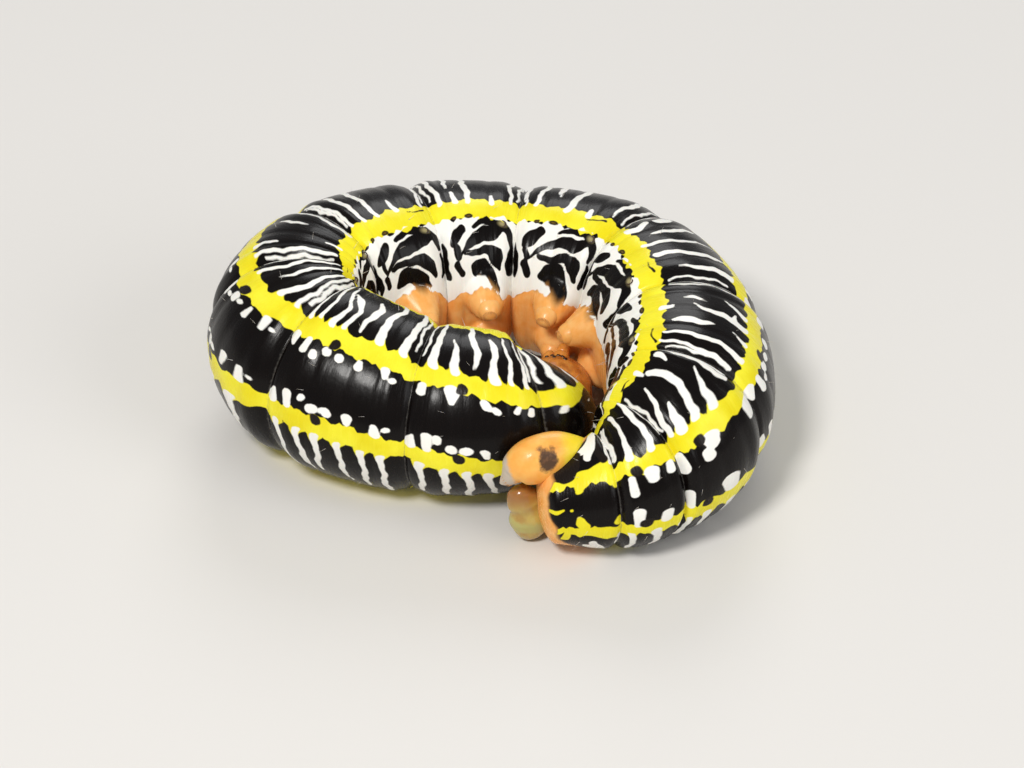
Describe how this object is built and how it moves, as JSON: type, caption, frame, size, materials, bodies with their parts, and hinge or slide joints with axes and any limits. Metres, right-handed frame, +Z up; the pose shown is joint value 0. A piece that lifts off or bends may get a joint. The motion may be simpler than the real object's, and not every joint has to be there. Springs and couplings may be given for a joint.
{
  "type": "striped moth larva",
  "caption": "Black, white and yellow striped moth larva curled in a ring on its side, with an orange underside; a life-size still model",
  "frame": {"origin": "on the ground under the middle of the bounding box", "axes": "+Z is up, the animal lies on its side; +X runs along the longest extent of the ring and -Y faces the side where the tail's end lies"},
  "size_m": [0.018, 0.015, 0.0063],
  "materials": {
    "skin": "smooth black skin with lemon yellow stripes and white bars",
    "underside": "soft orange skin, satin",
    "head": "glossy red-brown shell"
  },
  "bodies": {
    "root": {"abdomen_10": "skin", "abdomen_9": "skin", "abdomen_8": "skin", "abdomen_7": "skin", "abdomen_6": "skin", "abdomen_5": "skin", "abdomen_4": "skin", "abdomen_3": "skin", "abdomen_2": "skin", "abdomen_1": "skin", "thorax_3": "skin", "thorax_2": "skin", "thorax_1": "skin", "head": "head", "antenna_left": "head", "antenna_right": "head", "mandible_left": "head", "mandible_right": "head", "leg_1_left": "head", "leg_1_right": "head", "leg_2_left": "head", "leg_2_right": "head", "leg_3_left": "head", "leg_3_right": "head", "proleg_3_left": "underside", "proleg_3_right": "underside", "proleg_4_left": "underside", "proleg_4_right": "underside", "proleg_5_left": "underside", "proleg_5_right": "underside", "proleg_6_left": "underside", "proleg_6_right": "underside", "anal_proleg_left": "underside", "anal_proleg_right": "underside"}
  },
  "joints": []
}
